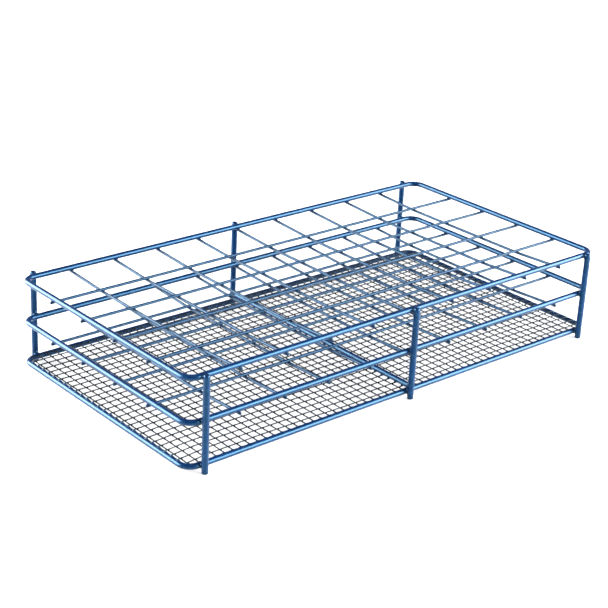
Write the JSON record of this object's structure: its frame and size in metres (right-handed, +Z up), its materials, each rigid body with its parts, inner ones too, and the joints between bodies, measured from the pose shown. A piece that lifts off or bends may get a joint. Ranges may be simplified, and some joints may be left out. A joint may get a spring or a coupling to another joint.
{
  "type": "test tube rack",
  "caption": "Coated wire rack with a two-tier grid of square cells over a fine mesh base, for tubes and vials.",
  "frame": {"origin": "centre of the footprint, on the plane that the six post ends stand on", "axes": "+X along the long side, +Y from front to back, +Z up"},
  "size_m": [0.3488, 0.1866, 0.0627],
  "materials": {
    "frame_coating": "glossy blue epoxy coating over steel wire",
    "grid_coating": "glossy blue epoxy coating over thin steel wire",
    "mesh_coating": "dark blue epoxy coating over fine steel mesh"
  },
  "bodies": {
    "root": {"top_ring": "frame_coating", "middle_ring": "frame_coating", "bottom_ring": "frame_coating", "front_left_post": "frame_coating", "front_middle_post": "frame_coating", "front_right_post": "frame_coating", "back_left_post": "frame_coating", "back_middle_post": "frame_coating", "back_right_post": "frame_coating", "base_cross_bar": "frame_coating", "top_long_wire_1": "grid_coating", "top_long_wire_2": "grid_coating", "top_long_wire_3": "grid_coating", "top_long_wire_4": "grid_coating", "top_cross_wire_1": "grid_coating", "top_cross_wire_2": "grid_coating", "top_cross_wire_3": "grid_coating", "top_cross_wire_4": "grid_coating", "top_cross_wire_5": "grid_coating", "top_cross_wire_6": "grid_coating", "top_cross_wire_7": "grid_coating", "top_cross_wire_8": "grid_coating", "top_cross_wire_9": "grid_coating", "middle_long_wire_1": "grid_coating", "middle_long_wire_2": "grid_coating", "middle_long_wire_3": "grid_coating", "middle_long_wire_4": "grid_coating", "middle_cross_wire_1": "grid_coating", "middle_cross_wire_2": "grid_coating", "middle_cross_wire_3": "grid_coating", "middle_cross_wire_4": "grid_coating", "middle_cross_wire_5": "grid_coating", "middle_cross_wire_6": "grid_coating", "middle_cross_wire_7": "grid_coating", "middle_cross_wire_8": "grid_coating", "middle_cross_wire_9": "grid_coating", "mesh_long_wires": "mesh_coating", "mesh_cross_wires": "mesh_coating"}
  },
  "joints": []
}
